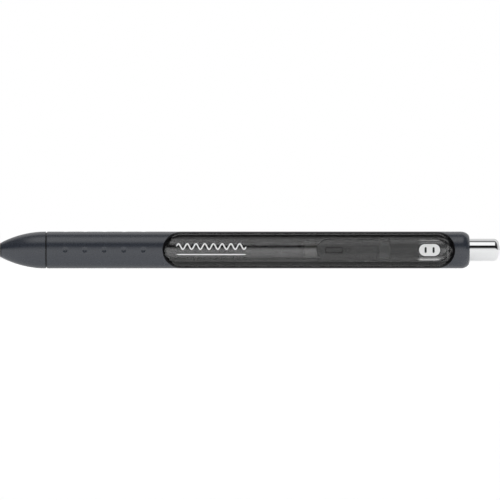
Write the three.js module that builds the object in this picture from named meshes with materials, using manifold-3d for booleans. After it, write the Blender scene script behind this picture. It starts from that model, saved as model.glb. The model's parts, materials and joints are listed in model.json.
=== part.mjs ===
// A retractable gel pen, built piece by piece as it comes apart on a bench.
// Millimetres, +Z up. The pen lies along X on its barrel: the nose points to -X, the push button to +X,
// and the clip is on the -Y side. Inside each function, distances along the pen ("along") run from the
// tip of the nose and the pen's axis is y = z = 0. The last group moves the axis up, so that the
// underside of the barrel is z = 0 and the origin is under mid-length.

import * as THREE from "three";
import * as BufferGeometryUtils from "three/addons/utils/BufferGeometryUtils.js";
import Module from "manifold-3d";

const wasm = await Module();
wasm.setup();

// Whole pen
const LENGTH = 145;
const BODY_R = 5.35;
const SIDES = 32; // facets round the barrel; one of them is the flat underside
const FINE_SIDES = 24;
const INNER_SIDES = 20;
const FIT = 0.06; // gap between pieces moulded or pressed onto each other
const CUT_FIT = 0.1; // gap round a piece that fills a cut in its neighbour

// Nose: a hard core with a rubber skin, screwed into the barrel
const NOSE_LENGTH = 13.3;
const NOSE_TIP_R = 2.0;
const NOSE_FLAT_R = 1.87;
const NOSE_BORE_R = 1.25;
const NOSE_LIP = 0.33; // the core stands this far out of its skin
const SKIN_AT_TIP = 0.35;
const SKIN_THICK = 0.75;
const SKIN_FULL_AT = 6;
const GROOVE_WIDTH = 0.4; // ring between the two rubbers, which the core's collar nearly fills
const COLLAR_R = 5.1;
const SPIGOT_R = 3.7;
const SPIGOT_BORE_R = 3.2;
const SPIGOT_END = 19.5;
const SPRING_SEAT = 7;
const THROAT_R = 2.35; // room for the refill's nose ahead of the spring seat
const THROAT_START = 5;
const NOSE_BORE_END = 3;

// Round thread between the nose and the barrel
const THREAD_PITCH = 1.5;
const THREAD_HELIX_R = 3.72;
const THREAD_RIDGE_R = 0.32;
const THREAD_GROOVE_R = 0.5;
const THREAD_START = 14.6;
const THREAD_END = 17.9;
const THREAD_RUN_IN = 0.9; // the barrel's groove starts this far in front of it, so that it is open
const THREAD_RUN_OUT = 0.6;

// Barrel and its rubber sleeve
const BARREL_FRONT = NOSE_LENGTH + GROOVE_WIDTH + CUT_FIT;
const BARREL_R = 4.55;
const BORE_R = 3.8;
const REAR_LIP_START = 133;
const REAR_LIP_R = 3.32;
const RIM_R = 3.5;
const BARREL_REAR = 136.05;
const BARREL_TAPER = 2.3; // length of the barrel's own rounding-in under the sleeve
const SLEEVE_REAR = 136.1;
const SHOULDER_START = 133.5; // where the sleeve begins to round in towards the button
const SHOULDER_LENGTH = 2.6;
const SHOULDER_END_R = 3.7;

// Window: a raised pad of the barrel that fills a long opening in the sleeve
const WINDOW_FRONT = 47.2;
const WINDOW_REAR = 131.8;
const WINDOW_END_FRONT = 5.6; // how far each rounded end takes to reach full height
const WINDOW_END_REAR = 5.3;
const WINDOW_EDGE = THREE.MathUtils.degToRad(82); // half the angle that the window covers
const PAD_ROOT = 0.2; // how far the pad's ring reaches into the barrel wall

// Grip dimples
const DIMPLE_FIRST = 19.05;
const DIMPLE_PITCH = 5.65;
const DIMPLES_PER_ROW = 5;
const DIMPLE_ROWS = 4;
const DIMPLE_MOUTH_R = 0.82;
const DIMPLE_FLOOR_R = 0.42;
const DIMPLE_DEPTH = 0.28;

// Clip and badge
const CLIP_TIP = 91.7;
const CLIP_END = 129.4;
const CLIP_HALF_WIDTH = 3.25;
const CLIP_TOP = 7.2; // distance of its outer face from the axis
const CLIP_THICK = 1.2;
const CLIP_FOOT_START = 121;
const CLIP_FOOT_SLOPE = 1.5;
const CLIP_FOOT_DEPTH = 3; // the foot's shapes start this far from the axis, inside the barrel's room
const CLIP_FOOT_CHAMFER = 3.7; // height over which the foot widens by its slope
const CLIP_PAD_CENTRE = 96.8; // small foot under the tip that presses on the barrel
const CLIP_PAD_LENGTH = 5.2;
const CLIP_PAD_WIDTH = 1.77;
const CLIP_PAD_TIP = 5.45;
const BADGE_CENTRE = 124.6;
const BADGE_LENGTH = 6.2;
const BADGE_WIDTH = 3.6;
const BADGE_THICK = 0.6;
const BADGE_PROUD = 0.12;

// Refill
const REFILL_R = 3.05;
const REFILL_BORE_R = 2.5;
const REFILL_FRONT = 20.05;
const REFILL_REAR = 112.9;
const INK_FRONT = 24.2;
const INK_REAR = 88.2;
const FOLLOWER_REAR = 91.8;
const TAIL_PLUG_FRONT = 110;
const TAIL_PLUG_BORE_R = 1.25;
const NIB_HOLDER_FRONT = 9.5;
const NIB_HOLDER_TIP_R = 1.6;
const NIB_HOLDER_R = 2.3;
const NIB_HOLDER_CONE_END = 13;
const NIB_COLLAR_FRONT = 18.5;
const NIB_COLLAR_R = 2.95;
const INK_WAY_R = 0.6;
const TIP_FRONT = 1.62; // the tip waits this far inside the nose
const TIP_R = 1.15;
const TIP_REAR = 11.2;
const TIP_TAPER_END = 5;
const BALL_R = 0.35; // a 0.7 mm writing ball
const BALL_POCKET_R = 0.4;
const BALL_POCKET_REAR = 2.26;
const INK_HOLE_R = 0.25;
const BALL_CENTRE = 1.87;

// Return spring
const SPRING_WIRE_R = 0.2;
const SPRING_COIL_R = 2.73;
const SPRING_FRONT = SPRING_SEAT + SPRING_WIRE_R + 0.05;
const SPRING_REAR = NIB_COLLAR_FRONT - SPRING_WIRE_R - 0.05;
const SPRING_TURNS = 7;
const SPRING_CLOSED_ENDS = 0.7; // 0 spaces the coils evenly, near 1 closes the end coils up

// Click mechanism
const GUIDE_FRONT = 113.2;
const GUIDE_STEP = 122.8;
const GUIDE_REAR = 132.9;
const GUIDE_R = 3.74;
const GUIDE_RIB_R = 2.75;
const GUIDE_BORE_R = 3.44;
const CAM_RIBS = 4;
const RIB_HALF_ANGLE = THREE.MathUtils.degToRad(8);
const SLOT_BEHIND = THREE.MathUtils.degToRad(10); // room beside a rib, on the side it never turns to
const SLOT_AHEAD = THREE.MathUtils.degToRad(32.5); // room for a rib to turn through one step of the cam
const RIB_R = 3.2;
const CAM_BODY_R = 2.5;
const RIB_ROOT_R = 2.2;
const ROTOR_FRONT = 113.3;
const ROTOR_REAR = 119.4;
const ROTOR_SPIGOT_R = 1.1;
const ROTOR_SPIGOT_FRONT = 111;
const CROWN_NOTCH = 1.2;
const CROWN_DEPTH = 0.9; // ribs stop this far short of the crown teeth
const STEM_FRONT = 119.6;
const STEM_REAR = 143.2;
const STEM_BORE_R = 1.2;
const STEM_ROOF = 1.2;
const STEM_RIB_STOP = 0.4; // the ribs end this far in front of the guide's step
const BUTTON_R = 3.26;
const BUTTON_BORE_R = 2.72;
const BUTTON_FRONT = 131.5;
const BUTTON_FLANGE_R = 3.37;
const BUTTON_CORNER = 1.3;
const BUTTON_DOME = 0.35;
const BUTTON_FLAT_R = 1.2;
const BUTTON_ROOF = 1.5;

// ---------------------------------------------------------------- helpers

// A closed profile of [along, radius] points, turned round the pen's axis.
// It runs rearwards along the outside and forwards along the inside.
function turned(profile, sides) {
  const points = profile.map(([along, radius]) => new THREE.Vector2(radius, along));
  points.push(points[0].clone());
  const lathe = new THREE.LatheGeometry(points, sides, Math.PI / sides);
  lathe.rotateZ(-Math.PI / 2);
  return lathe;
}

// A quarter of an ellipse from [along, radius] inwards, as [along, radius] points.
function shoulder(along, radius, length, drop, steps) {
  const points = [];
  for (let i = 0; i <= steps; i += 1) {
    const turn = (Math.PI / 2) * (i / steps);
    points.push([along + length * Math.sin(turn), radius - drop * (1 - Math.cos(turn))]);
  }
  return points;
}

// A flat outline in X and Z, as thick as from y = -near to y = -far.
function plateTowardsClip(shape, near, far, bevel = {}) {
  const plate = new THREE.ExtrudeGeometry(shape, {
    depth: far - near,
    bevelEnabled: false,
    curveSegments: 8,
    ...bevel,
  });
  plate.rotateX(Math.PI / 2);
  plate.translate(0, -near, 0);
  return plate;
}

// A section drawn across the pen's axis, extruded from one distance along the pen to another.
function extrudedAlong(shape, from, to) {
  const bar = new THREE.ExtrudeGeometry(shape, {
    depth: to - from,
    bevelEnabled: false,
    curveSegments: 4,
  });
  bar.rotateY(Math.PI / 2);
  bar.translate(from, 0, 0);
  return bar;
}

function solid(geometry) {
  const bare = geometry.clone();
  bare.deleteAttribute("normal");
  bare.deleteAttribute("uv");
  const merged = BufferGeometryUtils.mergeVertices(bare, 1e-4);
  const index = merged.index.array;
  const corners = [];
  for (let i = 0; i < index.length; i += 3) {
    const [a, b, c] = [index[i], index[i + 1], index[i + 2]];
    if (a !== b && b !== c && c !== a) corners.push(a, b, c);
  }
  const mesh = new wasm.Mesh({
    numProp: 3,
    vertProperties: new Float32Array(merged.attributes.position.array),
    triVerts: new Uint32Array(corners),
  });
  return new wasm.Manifold(mesh);
}

function geometryOf(manifold) {
  const mesh = manifold.getMesh();
  const geometry = new THREE.BufferGeometry();
  geometry.setAttribute("position", new THREE.BufferAttribute(mesh.vertProperties, 3));
  geometry.setIndex(new THREE.BufferAttribute(mesh.triVerts, 1));
  geometry.computeVertexNormals();
  return geometry;
}

function piece(name, geometry, color, roughness, metalness = 0, opacity = 1) {
  const material = new THREE.MeshStandardMaterial({
    color,
    roughness,
    metalness,
    opacity,
    transparent: opacity < 1,
  });
  const mesh = new THREE.Mesh(geometry, material);
  mesh.name = name;
  return mesh;
}

class Helix extends THREE.Curve {
  constructor(radius, from, to, turns, firstAngle, closedEnds = 0) {
    super();
    Object.assign(this, { radius, from, to, turns, firstAngle, closedEnds });
  }

  getPoint(t, target = new THREE.Vector3()) {
    const angle = this.firstAngle + 2 * Math.PI * this.turns * t;
    const eased = t - (this.closedEnds * Math.sin(2 * Math.PI * t)) / (2 * Math.PI);
    const along = this.from + (this.to - this.from) * eased;
    return target.set(along, this.radius * Math.cos(angle), this.radius * Math.sin(angle));
  }
}

function coiledWire(helix, wireR, sides, stepsPerTurn) {
  const section = new THREE.Shape();
  for (let i = 0; i < sides; i += 1) {
    const angle = (2 * Math.PI * i) / sides;
    const point = [wireR * Math.cos(angle), wireR * Math.sin(angle)];
    if (i === 0) section.moveTo(...point);
    else section.lineTo(...point);
  }
  return new THREE.ExtrudeGeometry(section, {
    steps: Math.round(helix.turns * stepsPerTurn),
    extrudePath: helix,
    bevelEnabled: false,
  });
}

// A right-hand round thread, in phase for the nose and the barrel alike.
function thread(wireR, from, to) {
  const turns = (to - from) / THREAD_PITCH;
  const firstAngle = (2 * Math.PI * (from - THREAD_START)) / THREAD_PITCH;
  return coiledWire(new Helix(THREAD_HELIX_R, from, to, turns, firstAngle), wireR, 6, 16);
}

// ---------------------------------------------------------------- nose

// The nose's outline is one arc that runs into the straight grip without a corner.
function noseRadius(along) {
  const drop = BODY_R - NOSE_TIP_R;
  const arc = (NOSE_LENGTH ** 2 + drop ** 2) / (2 * drop);
  return BODY_R - arc + Math.sqrt(arc ** 2 - (NOSE_LENGTH - along) ** 2);
}

function skinThickness(along) {
  const share = Math.min(1, along / SKIN_FULL_AT);
  return SKIN_AT_TIP + (SKIN_THICK - SKIN_AT_TIP) * share;
}

function noseCurve(from, to, steps, radiusAt) {
  const points = [];
  for (let i = 0; i <= steps; i += 1) {
    const along = from + ((to - from) * i) / steps;
    points.push([along, radiusAt(along)]);
  }
  return points;
}

function noseCore() {
  const underSkin = (along) => noseRadius(along) - skinThickness(along) - FIT;
  const flangeRear = NOSE_LENGTH + GROOVE_WIDTH;
  const profile = [
    [0, NOSE_FLAT_R],
    [NOSE_LIP / 2, noseRadius(NOSE_LIP / 2)],
    [NOSE_LIP, noseRadius(NOSE_LIP)],
    ...noseCurve(NOSE_LIP, NOSE_LENGTH + FIT, 5, (along) => underSkin(Math.min(along, NOSE_LENGTH))),
    [NOSE_LENGTH + FIT, COLLAR_R],
    [flangeRear - FIT, COLLAR_R],
    [flangeRear - FIT, underSkin(NOSE_LENGTH)],
    [flangeRear, underSkin(NOSE_LENGTH)],
    [flangeRear, SPIGOT_R],
    [SPIGOT_END, SPIGOT_R],
    [SPIGOT_END, SPIGOT_BORE_R],
    [SPRING_SEAT, SPIGOT_BORE_R],
    [SPRING_SEAT, THROAT_R],
    [THROAT_START, THROAT_R],
    [NOSE_BORE_END, NOSE_BORE_R],
    [0, NOSE_BORE_R],
  ];
  const ridge = solid(thread(THREAD_RIDGE_R, THREAD_START, THREAD_END));
  const core = solid(turned(profile, FINE_SIDES)).add(ridge);
  return piece("nose_core", geometryOf(core), 0x26272b, 0.4);
}

function noseSleeve() {
  const front = NOSE_LIP + FIT;
  const inside = (along) => noseRadius(along) - skinThickness(along);
  const profile = [
    ...noseCurve(front, NOSE_LENGTH, 8, noseRadius),
    ...noseCurve(front, NOSE_LENGTH, 5, inside).reverse(),
  ];
  return piece("nose_sleeve", turned(profile, SIDES), 0x575a60, 0.75);
}

// ---------------------------------------------------------------- barrel

// The window's outline seen square on, grown all round by an amount.
function windowOutline(grow) {
  const height = BODY_R * Math.sin(WINDOW_EDGE) + grow;
  const front = WINDOW_FRONT + WINDOW_END_FRONT;
  const rear = WINDOW_REAR - WINDOW_END_REAR;
  const outline = new THREE.Shape();
  outline.moveTo(rear, -height);
  outline.absellipse(rear, 0, WINDOW_END_REAR + grow, height, -Math.PI / 2, Math.PI / 2);
  outline.lineTo(front, height);
  outline.absellipse(front, 0, WINDOW_END_FRONT + grow, height, Math.PI / 2, (3 * Math.PI) / 2);
  return outline;
}

function windowPrism(grow) {
  const nearEdge = BODY_R * Math.cos(WINDOW_EDGE) - grow;
  return solid(plateTowardsClip(windowOutline(grow), nearEdge, 2 * BODY_R));
}

function barrelTube() {
  const rearTaper = shoulder(REAR_LIP_START, BARREL_R, BARREL_TAPER, BARREL_R - RIM_R, 3);
  const tube = turned([
    [BARREL_FRONT, BORE_R],
    [BARREL_FRONT, BARREL_R],
    ...rearTaper,
    [BARREL_REAR, RIM_R],
    [BARREL_REAR, REAR_LIP_R],
    [REAR_LIP_START, REAR_LIP_R],
    [REAR_LIP_START, BORE_R],
  ], SIDES);
  const padRing = turned([
    [WINDOW_FRONT - 1, BARREL_R - PAD_ROOT],
    [WINDOW_FRONT - 1, BODY_R],
    [WINDOW_REAR + 1, BODY_R],
    [WINDOW_REAR + 1, BARREL_R - PAD_ROOT],
  ], SIDES);
  const pad = solid(padRing).intersect(windowPrism(0));
  const groove = solid(thread(THREAD_GROOVE_R, BARREL_FRONT - THREAD_RUN_IN, THREAD_END + THREAD_RUN_OUT));
  const barrel = solid(tube).add(pad).subtract(groove);
  return piece("barrel_tube", geometryOf(barrel), 0x3a3c40, 0.12, 0, 0.55);
}

function dimple(along, turn) {
  const cutter = new THREE.CylinderGeometry(DIMPLE_MOUTH_R, DIMPLE_FLOOR_R, 2 * DIMPLE_DEPTH, 8);
  cutter.translate(0, BODY_R, 0);
  cutter.rotateX(turn);
  cutter.translate(along, 0, 0);
  return solid(cutter);
}

function gripSleeve() {
  const front = NOSE_LENGTH + GROOVE_WIDTH;
  const innerR = BARREL_R + FIT;
  const endInnerR = RIM_R + FIT;
  const outside = shoulder(SHOULDER_START, BODY_R, SHOULDER_LENGTH, BODY_R - SHOULDER_END_R, 5);
  const innerTaper = shoulder(REAR_LIP_START, innerR, BARREL_TAPER + FIT, innerR - endInnerR, 3);
  const tube = turned([
    [front, innerR],
    [front, BODY_R],
    ...outside,
    [SLEEVE_REAR, endInnerR],
    ...innerTaper.reverse(),
  ], SIDES);
  let sleeve = solid(tube).subtract(windowPrism(CUT_FIT));
  for (let row = 0; row < DIMPLE_ROWS; row += 1) {
    for (let i = 0; i < DIMPLES_PER_ROW; i += 1) {
      const turn = (2 * Math.PI * row) / DIMPLE_ROWS;
      sleeve = sleeve.subtract(dimple(DIMPLE_FIRST + i * DIMPLE_PITCH, turn));
    }
  }
  return piece("grip_sleeve", geometryOf(sleeve), 0x54575d, 0.75);
}

// ---------------------------------------------------------------- clip

// A bar with two round ends, centred on the pen's axis.
function stadium(from, to, halfWidth) {
  const outline = new THREE.Shape();
  outline.moveTo(to - halfWidth, -halfWidth);
  outline.absarc(to - halfWidth, 0, halfWidth, -Math.PI / 2, Math.PI / 2);
  outline.lineTo(from + halfWidth, halfWidth);
  outline.absarc(from + halfWidth, 0, halfWidth, Math.PI / 2, (3 * Math.PI) / 2);
  return outline;
}

// A bar that is square at the front and round at the rear.
function tongue(from, to, halfWidth) {
  const outline = new THREE.Shape();
  outline.moveTo(from, -halfWidth);
  outline.lineTo(to - halfWidth, -halfWidth);
  outline.absarc(to - halfWidth, 0, halfWidth, -Math.PI / 2, Math.PI / 2);
  outline.lineTo(from, halfWidth);
  return outline;
}

function badgeOutline(grow) {
  const half = BADGE_LENGTH / 2 + grow;
  return stadium(BADGE_CENTRE - half, BADGE_CENTRE + half, BADGE_WIDTH / 2 + grow);
}

function clipArm() {
  const under = CLIP_TOP - CLIP_THICK;
  const inside = CLIP_TOP - CUT_FIT; // joined shapes end inside the arm, so that its outer face stays flat
  const arm = plateTowardsClip(stadium(CLIP_TIP, CLIP_END, CLIP_HALF_WIDTH), under, CLIP_TOP);
  const foot = tongue(CLIP_FOOT_START, CLIP_END, CLIP_HALF_WIDTH);
  const block = plateTowardsClip(foot, CLIP_FOOT_DEPTH, inside);
  const roundEnd = CLIP_END - CLIP_HALF_WIDTH;
  const slope = plateTowardsClip(
    tongue(roundEnd, CLIP_END, CLIP_HALF_WIDTH - CUT_FIT),
    CLIP_FOOT_DEPTH,
    inside - CLIP_FOOT_CHAMFER,
    { bevelEnabled: true, bevelThickness: CLIP_FOOT_CHAMFER, bevelSize: CLIP_FOOT_SLOPE, bevelSegments: 1 },
  );
  const behindRoundEnd = new THREE.BoxGeometry(2 * CLIP_HALF_WIDTH, 4 * BODY_R, 4 * BODY_R);
  behindRoundEnd.translate(roundEnd + CLIP_HALF_WIDTH, 0, 0);
  const padHalf = CLIP_PAD_LENGTH / 2;
  const pressPad = plateTowardsClip(
    stadium(CLIP_PAD_CENTRE - padHalf, CLIP_PAD_CENTRE + padHalf, CLIP_PAD_WIDTH / 2),
    CLIP_PAD_TIP,
    inside,
  );
  const barrelRoom = turned([
    [0, 0],
    [0, BODY_R + CUT_FIT],
    [LENGTH, BODY_R + CUT_FIT],
    [LENGTH, 0],
  ], SIDES);
  const recess = plateTowardsClip(badgeOutline(CUT_FIT), CLIP_TOP - BADGE_THICK, CLIP_TOP + CLIP_THICK);
  const clip = solid(arm)
    .add(solid(block))
    .add(solid(slope).intersect(solid(behindRoundEnd)))
    .add(solid(pressPad))
    .subtract(solid(barrelRoom))
    .subtract(solid(recess));
  return piece("clip_arm", geometryOf(clip), 0x48494c, 0.15, 0, 0.6);
}

function clipBadge() {
  const seat = CLIP_TOP - BADGE_THICK + CUT_FIT;
  const badge = plateTowardsClip(badgeOutline(0), seat, CLIP_TOP + BADGE_PROUD);
  return piece("clip_badge", badge, 0xf2f2f2, 0.4);
}

// ---------------------------------------------------------------- refill

function refillTube() {
  const profile = [
    [REFILL_FRONT, REFILL_BORE_R],
    [REFILL_FRONT, REFILL_R],
    [REFILL_REAR, REFILL_R],
    [REFILL_REAR, REFILL_BORE_R],
  ];
  return piece("refill_tube", turned(profile, INNER_SIDES), 0xc8ccd0, 0.2, 0, 0.4);
}

function columnInTube(front, rear) {
  const radius = REFILL_BORE_R - FIT;
  return turned([
    [front, 0],
    [front, radius],
    [rear, radius],
    [rear, 0],
  ], INNER_SIDES);
}

function inkColumn() {
  return piece("ink_column", columnInTube(INK_FRONT, INK_REAR), 0x0a0a0c, 0.3);
}

function greaseFollower() {
  const column = columnInTube(INK_REAR + CUT_FIT, FOLLOWER_REAR);
  return piece("grease_follower", column, 0xd8d2b8, 0.35, 0, 0.7);
}

function refillTailPlug() {
  const radius = REFILL_BORE_R - FIT;
  const profile = [
    [TAIL_PLUG_FRONT, TAIL_PLUG_BORE_R],
    [TAIL_PLUG_FRONT, radius],
    [REFILL_REAR, radius],
    [REFILL_REAR, TAIL_PLUG_BORE_R],
  ];
  return piece("refill_tail_plug", turned(profile, INNER_SIDES), 0xe0e2e4, 0.5);
}

function nibHolder() {
  const socketR = TIP_R + FIT;
  const collarRear = REFILL_FRONT - FIT;
  const plugR = REFILL_BORE_R - FIT;
  const plugRear = INK_FRONT - CUT_FIT;
  const profile = [
    [NIB_HOLDER_FRONT, socketR],
    [NIB_HOLDER_FRONT, NIB_HOLDER_TIP_R],
    [NIB_HOLDER_CONE_END, NIB_HOLDER_R],
    [NIB_COLLAR_FRONT, NIB_HOLDER_R],
    [NIB_COLLAR_FRONT, NIB_COLLAR_R],
    [collarRear, NIB_COLLAR_R],
    [collarRear, plugR],
    [plugRear, plugR],
    [plugRear, INK_WAY_R],
    [TIP_REAR + CUT_FIT, INK_WAY_R],
    [TIP_REAR + CUT_FIT, socketR],
  ];
  return piece("nib_holder", turned(profile, INNER_SIDES), 0x2c2e33, 0.45);
}

function tipCone() {
  const profile = [
    [TIP_FRONT, BALL_POCKET_R],
    [TIP_FRONT, BALL_POCKET_R + CUT_FIT],
    [TIP_TAPER_END, TIP_R],
    [TIP_REAR, TIP_R],
    [TIP_REAR, INK_HOLE_R],
    [BALL_POCKET_REAR, INK_HOLE_R],
    [BALL_POCKET_REAR, BALL_POCKET_R],
  ];
  return piece("tip_cone", turned(profile, INNER_SIDES), 0xbfc3c8, 0.25, 1);
}

function writingBall() {
  const ball = piece("writing_ball", new THREE.IcosahedronGeometry(BALL_R, 1), 0x9a9da2, 0.2, 1);
  ball.position.x = BALL_CENTRE;
  return ball;
}

function returnSpring() {
  const helix = new Helix(SPRING_COIL_R, SPRING_FRONT, SPRING_REAR, SPRING_TURNS, 0, SPRING_CLOSED_ENDS);
  return piece("return_spring", coiledWire(helix, SPRING_WIRE_R, 5, 12), 0xa9adb2, 0.3, 1);
}

// ---------------------------------------------------------------- click mechanism

// A block between two radii and two angles, running along the pen.
function sector(innerR, outerR, fromAngle, toAngle, from, to) {
  const section = new THREE.Shape();
  section.absarc(0, 0, outerR, fromAngle, toAngle, false);
  section.absarc(0, 0, innerR, toAngle, fromAngle, true);
  return solid(extrudedAlong(section, from, to));
}

function camRibs(body, from, to) {
  let ribbed = body;
  for (let i = 0; i < CAM_RIBS; i += 1) {
    const centre = (2 * Math.PI * i) / CAM_RIBS;
    const sides = [centre - RIB_HALF_ANGLE, centre + RIB_HALF_ANGLE];
    const rib = sector(RIB_ROOT_R, RIB_R, ...sides, from, to);
    ribbed = ribbed.add(rib);
  }
  return ribbed;
}

// Two notches across the end of a turned piece leave four crown teeth.
function crownCut(body, along) {
  const notch = new THREE.BoxGeometry(CROWN_NOTCH, 4 * CAM_BODY_R, CROWN_NOTCH);
  notch.rotateY(Math.PI / 4);
  notch.translate(along, 0, 0);
  const across = notch.clone();
  across.rotateX(Math.PI / 2);
  return body.subtract(solid(notch)).subtract(solid(across));
}

function camGuide() {
  const sleeve = turned([
    [GUIDE_FRONT, GUIDE_RIB_R],
    [GUIDE_FRONT, GUIDE_R],
    [GUIDE_REAR, GUIDE_R],
    [GUIDE_REAR, GUIDE_BORE_R],
    [GUIDE_STEP, GUIDE_BORE_R],
    [GUIDE_STEP, GUIDE_RIB_R],
  ], INNER_SIDES);
  let guide = solid(sleeve);
  for (let i = 0; i < CAM_RIBS; i += 1) {
    const centre = (2 * Math.PI * i) / CAM_RIBS;
    const sides = [centre - SLOT_BEHIND, centre + SLOT_AHEAD];
    const slot = sector(RIB_ROOT_R, GUIDE_BORE_R, ...sides, GUIDE_FRONT - 1, GUIDE_STEP + 1);
    guide = guide.subtract(slot);
  }
  return piece("cam_guide", geometryOf(guide), 0x2e3034, 0.5);
}

function camRotor() {
  const body = turned([
    [ROTOR_SPIGOT_FRONT, 0],
    [ROTOR_SPIGOT_FRONT, ROTOR_SPIGOT_R],
    [ROTOR_FRONT, ROTOR_SPIGOT_R],
    [ROTOR_FRONT, CAM_BODY_R],
    [ROTOR_REAR, CAM_BODY_R],
    [ROTOR_REAR, 0],
  ], INNER_SIDES);
  const ribbed = camRibs(solid(body), ROTOR_FRONT + CROWN_DEPTH, ROTOR_REAR - CROWN_DEPTH);
  return piece("cam_rotor", geometryOf(crownCut(ribbed, ROTOR_REAR)), 0xc9cbce, 0.5);
}

function plungerStem() {
  const body = turned([
    [STEM_FRONT, STEM_BORE_R],
    [STEM_FRONT, CAM_BODY_R],
    [STEM_REAR, CAM_BODY_R],
    [STEM_REAR, 0],
    [STEM_REAR - STEM_ROOF, 0],
    [STEM_REAR - STEM_ROOF, STEM_BORE_R],
  ], INNER_SIDES);
  const ribbed = camRibs(solid(body), STEM_FRONT + CROWN_DEPTH, GUIDE_STEP - STEM_RIB_STOP);
  return piece("plunger_stem", geometryOf(crownCut(ribbed, STEM_FRONT)), 0xb9bcc0, 0.5);
}

function plungerCap() {
  const domeStart = LENGTH - BUTTON_DOME;
  const corner = shoulder(domeStart - BUTTON_CORNER, BUTTON_R, BUTTON_CORNER, BUTTON_CORNER, 5);
  const roof = LENGTH - BUTTON_ROOF;
  const profile = [
    [BUTTON_FRONT, BUTTON_BORE_R],
    [BUTTON_FRONT, BUTTON_FLANGE_R],
    [GUIDE_REAR, BUTTON_FLANGE_R],
    [GUIDE_REAR, BUTTON_R],
    ...corner,
    [LENGTH, BUTTON_FLAT_R],
    [LENGTH, 0],
    [roof, 0],
    [roof, BUTTON_BORE_R],
  ];
  return piece("plunger_cap", turned(profile, FINE_SIDES), 0xd9dbde, 0.1, 1);
}

// ---------------------------------------------------------------- assembly

const barrelGroup = new THREE.Group();
barrelGroup.add(barrelTube(), gripSleeve(), camGuide());

const noseGroup = new THREE.Group();
noseGroup.add(noseCore(), noseSleeve(), returnSpring());

const clipGroup = new THREE.Group();
clipGroup.add(clipArm(), clipBadge());

const refillGroup = new THREE.Group();
refillGroup.add(refillTube(), inkColumn(), greaseFollower(), refillTailPlug());
refillGroup.add(nibHolder(), tipCone(), writingBall());

const clickGroup = new THREE.Group();
clickGroup.add(camRotor(), plungerStem(), plungerCap());

const pen = new THREE.Group();
pen.add(barrelGroup, noseGroup, clipGroup, refillGroup, clickGroup);
pen.position.set(-LENGTH / 2, 0, BODY_R * Math.cos(Math.PI / SIDES));

const gelPen = new THREE.Group();
gelPen.add(pen);

export default gelPen;
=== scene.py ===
import json
import math

import bmesh
import bpy
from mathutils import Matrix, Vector


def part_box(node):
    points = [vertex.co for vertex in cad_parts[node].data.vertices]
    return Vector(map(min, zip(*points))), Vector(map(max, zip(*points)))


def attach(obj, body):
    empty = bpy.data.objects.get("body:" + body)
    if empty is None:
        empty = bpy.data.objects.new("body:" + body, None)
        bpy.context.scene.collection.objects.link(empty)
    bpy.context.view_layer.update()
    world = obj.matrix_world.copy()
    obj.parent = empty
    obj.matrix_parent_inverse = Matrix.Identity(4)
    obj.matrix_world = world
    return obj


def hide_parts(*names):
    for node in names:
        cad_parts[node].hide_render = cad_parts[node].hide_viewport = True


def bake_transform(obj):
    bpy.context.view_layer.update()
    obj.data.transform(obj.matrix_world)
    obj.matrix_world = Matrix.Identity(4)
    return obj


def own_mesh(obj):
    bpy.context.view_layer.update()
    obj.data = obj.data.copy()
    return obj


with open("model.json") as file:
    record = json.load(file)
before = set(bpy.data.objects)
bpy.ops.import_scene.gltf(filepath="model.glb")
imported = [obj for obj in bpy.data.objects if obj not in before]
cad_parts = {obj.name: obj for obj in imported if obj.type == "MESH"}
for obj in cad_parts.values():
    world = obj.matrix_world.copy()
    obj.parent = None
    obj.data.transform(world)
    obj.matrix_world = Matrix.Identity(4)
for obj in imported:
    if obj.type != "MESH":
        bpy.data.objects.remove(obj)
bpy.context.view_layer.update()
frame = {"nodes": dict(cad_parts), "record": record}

# ---------------------------------------------------------------- the desk and the light
# The pen lies on a plain white desk and is seen square on from its clip side, through a long lens.
# A white room lights it: one bright ceiling panel, with dark gaps in front of it and behind it.

MM = 0.001
mounts = {mount["name"]: mount for mount in frame["record"]["mounts"]}
axis_z = mounts["button_face"]["pos_m"][2]
tip_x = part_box("nose_core")[0].x
button_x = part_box("plunger_cap")[1].x
length = (button_x - tip_x) / MM
middle = Vector(((tip_x + button_x) / 2, 0, axis_z))

camera_data = bpy.data.cameras.new("camera")
camera_data.lens = 400
camera_data.sensor_width = 36
half_view = camera_data.sensor_width / 2 / camera_data.lens
camera = bpy.data.objects.new("camera", camera_data)
bpy.context.scene.collection.objects.link(camera)
camera.location = middle - Vector((0, length * MM / 2 / half_view, 0))
camera.rotation_euler = (math.pi / 2, 0, 0)
camera_data.clip_end = 40
bpy.context.scene.camera = camera
bpy.context.scene.view_settings.view_transform = "Standard"

# How bright the room is at each angle above the camera, turning up and over to the back (degrees),
# without the ceiling panel, and then the panel alone.
ROOM = (
    (-90, 1.05),
    (5, 1.05),
    (10, 0.92),
    (16, 0.6),
    (23, 0.04),
    (38, 0.0),
    (96, 0.14),
    (106, 0.16),
    (113, 0.75),
    (122, 0.95),
    (150, 0.7),
    (180, 0.8),
    (270, 1.05),
)
PANEL = (
    (-90, 0.0),
    (44, 0.0),
    (51, 1.05),
    (60, 1.25),
    (80, 1.1),
    (89, 0.6),
    (96, 0.0),
    (270, 0.0),
)
PANEL_END = 0.3
PANEL_FADE = 0.08


def in_room(degrees):
    """The place of an angle on the room's colour ramp."""
    return (degrees + 90) / 360


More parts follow.
